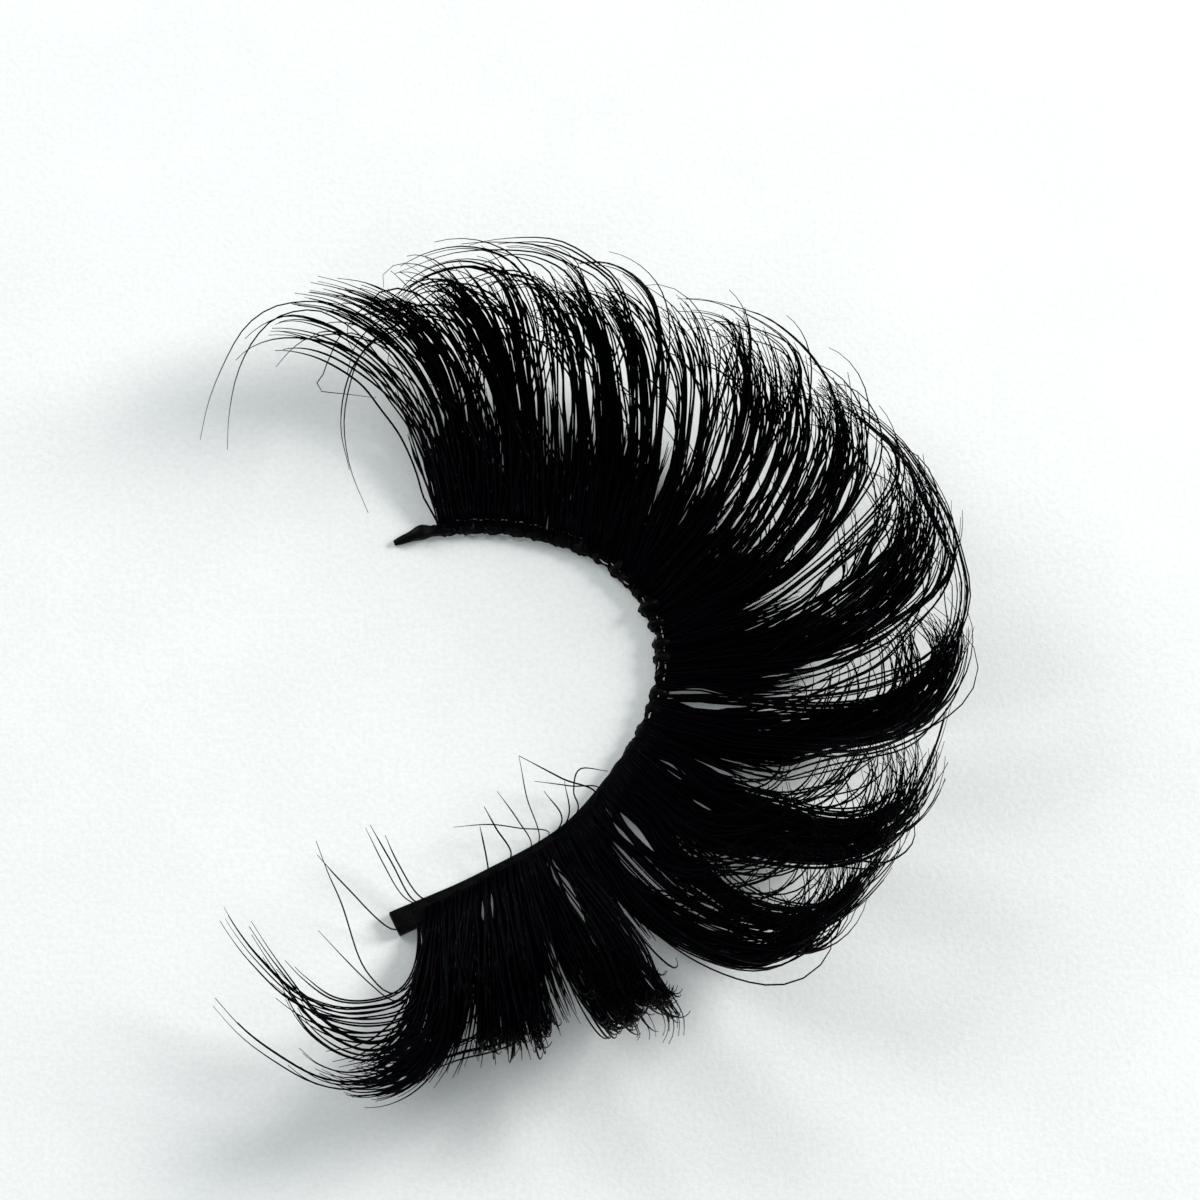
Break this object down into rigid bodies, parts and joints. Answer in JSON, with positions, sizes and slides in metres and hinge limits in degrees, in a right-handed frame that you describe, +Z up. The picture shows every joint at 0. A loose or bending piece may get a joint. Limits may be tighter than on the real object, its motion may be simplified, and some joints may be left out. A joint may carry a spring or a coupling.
{
  "type": "false eyelash strip",
  "caption": "Curved strip of tied black lash hair in swept, curled fans on a thin knotted band, lying open side down.",
  "frame": {"origin": "middle of the strip's outline in plan, on the surface that the band rests on", "axes": "+X from the open side of the C towards the middle of the band, +Y towards the end with the bare tail, +Z up, the way the lashes curl"},
  "size_m": [0.0325, 0.0398, 0.0077],
  "materials": {
    "lash_thread": "glued black cotton thread, satin",
    "lash_hair": "fine glossy black synthetic hair"
  },
  "bodies": {
    "root": {"band": "lash_thread", "lash_fan_01": "lash_hair", "lash_fan_02": "lash_hair", "lash_fan_03": "lash_hair", "lash_fan_04": "lash_hair", "lash_fan_05": "lash_hair", "lash_fan_06": "lash_hair", "lash_fan_07": "lash_hair", "lash_fan_08": "lash_hair", "lash_fan_09": "lash_hair", "lash_fan_10": "lash_hair", "lash_fan_11": "lash_hair", "lash_fan_12": "lash_hair"}
  },
  "joints": []
}
